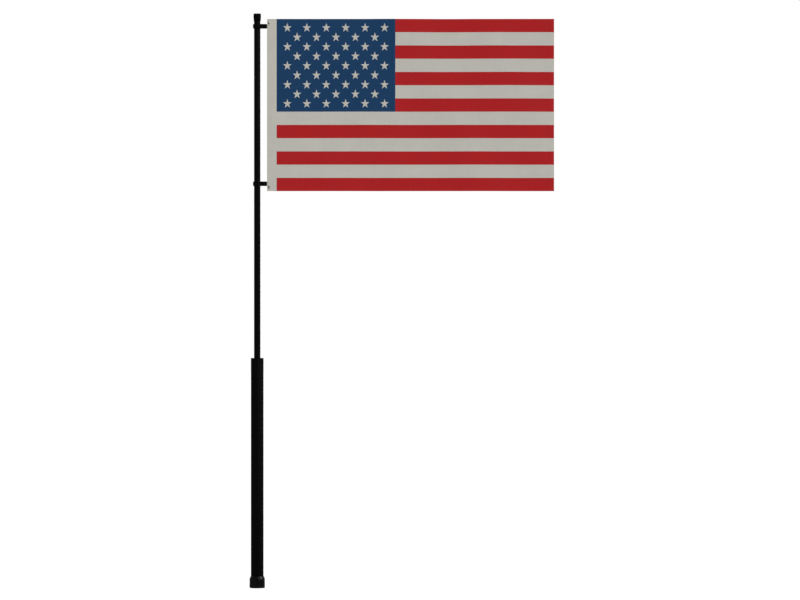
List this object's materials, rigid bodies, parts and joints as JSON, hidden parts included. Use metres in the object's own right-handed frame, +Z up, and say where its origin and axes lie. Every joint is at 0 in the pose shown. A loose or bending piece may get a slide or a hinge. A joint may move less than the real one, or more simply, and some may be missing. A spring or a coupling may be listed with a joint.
{
  "type": "flagpole with flag",
  "caption": "Telescoping two-section pole with a twist lock and rubber foot, carrying a striped and starred flag on swivel clips that turn freely around the upper section.",
  "frame": {"origin": "centre of the underside of the rubber foot, on the pole's axis", "axes": "+Z up along the pole; +X from the pole towards the fly end of the flag at rest; the flag hangs in the plane y = 0 and its front faces -Y"},
  "size_m": [1.617, 0.082, 3.048],
  "materials": {
    "powder_black": "satin",
    "black_steel": "satin",
    "rubber_black": "satin",
    "nylon_black": "satin",
    "nylon_natural": "satin",
    "steel": "satin",
    "nickel": "satin",
    "canvas_white": "matte",
    "cloth_white": "matte",
    "cloth_red": "matte",
    "cloth_blue": "matte"
  },
  "bodies": {
    "lower_pole": {"lower_tube": "powder_black", "neck_bushing": "nylon_black", "neck_seal": "rubber_black", "neck_screws": "steel", "foot_cap": "rubber_black", "foot_disc": "steel"},
    "guide": {"guide_ring": "nylon_natural"},
    "mast": {"upper_tube": "powder_black", "top_cap": "rubber_black", "tail_plug": "nylon_black", "tail_bumper": "rubber_black", "tail_pins": "steel", "cam_washer": "steel", "cam_screw": "steel", "upper_race": "nylon_black", "lower_race": "nylon_black", "upper_race_rivets": "steel", "lower_race_rivets": "steel"},
    "cam": {"cam_ring": "nylon_natural"},
    "flag": {"upper_ring_front": "nylon_black", "upper_ring_back": "nylon_black", "upper_tab": "black_steel", "upper_hook": "steel", "upper_clip_screws": "steel", "lower_ring_front": "nylon_black", "lower_ring_back": "nylon_black", "lower_tab": "black_steel", "lower_hook": "steel", "lower_clip_screws": "steel", "upper_eyelet": "nickel", "upper_eyelet_washer": "nickel", "lower_eyelet": "nickel", "lower_eyelet_washer": "nickel", "flag_header": "canvas_white", "flag_union": "cloth_blue", "flag_red_stripes": "cloth_red", "flag_white_stripes": "cloth_white", "flag_stars": "cloth_white"}
  },
  "joints": [
    {"name": "mast_slide", "type": "slide", "parent": "lower_pole", "child": "guide", "axis": [0, 0, 1], "range_m": [-0.9, 0]},
    {"name": "mast_twist", "type": "hinge", "parent": "guide", "child": "mast", "pos_m": [0, 0, 1.0717], "axis": [0, 0, 1], "range_deg": [-50, 0]},
    {"name": "cam_turn", "type": "hinge", "parent": "mast", "child": "cam", "pos_m": [0.0015, 0, 1.0425], "axis": [0, 0, 1], "range_deg": [0, 50]},
    {"name": "flag_spin", "type": "hinge", "parent": "mast", "child": "flag", "pos_m": [0, 0, 2.563], "axis": [0, 0, 1], "continuous": true}
  ],
  "couplings": [
    {"joint": "cam_turn", "follows": "mast_twist", "ratio": -1}
  ]
}
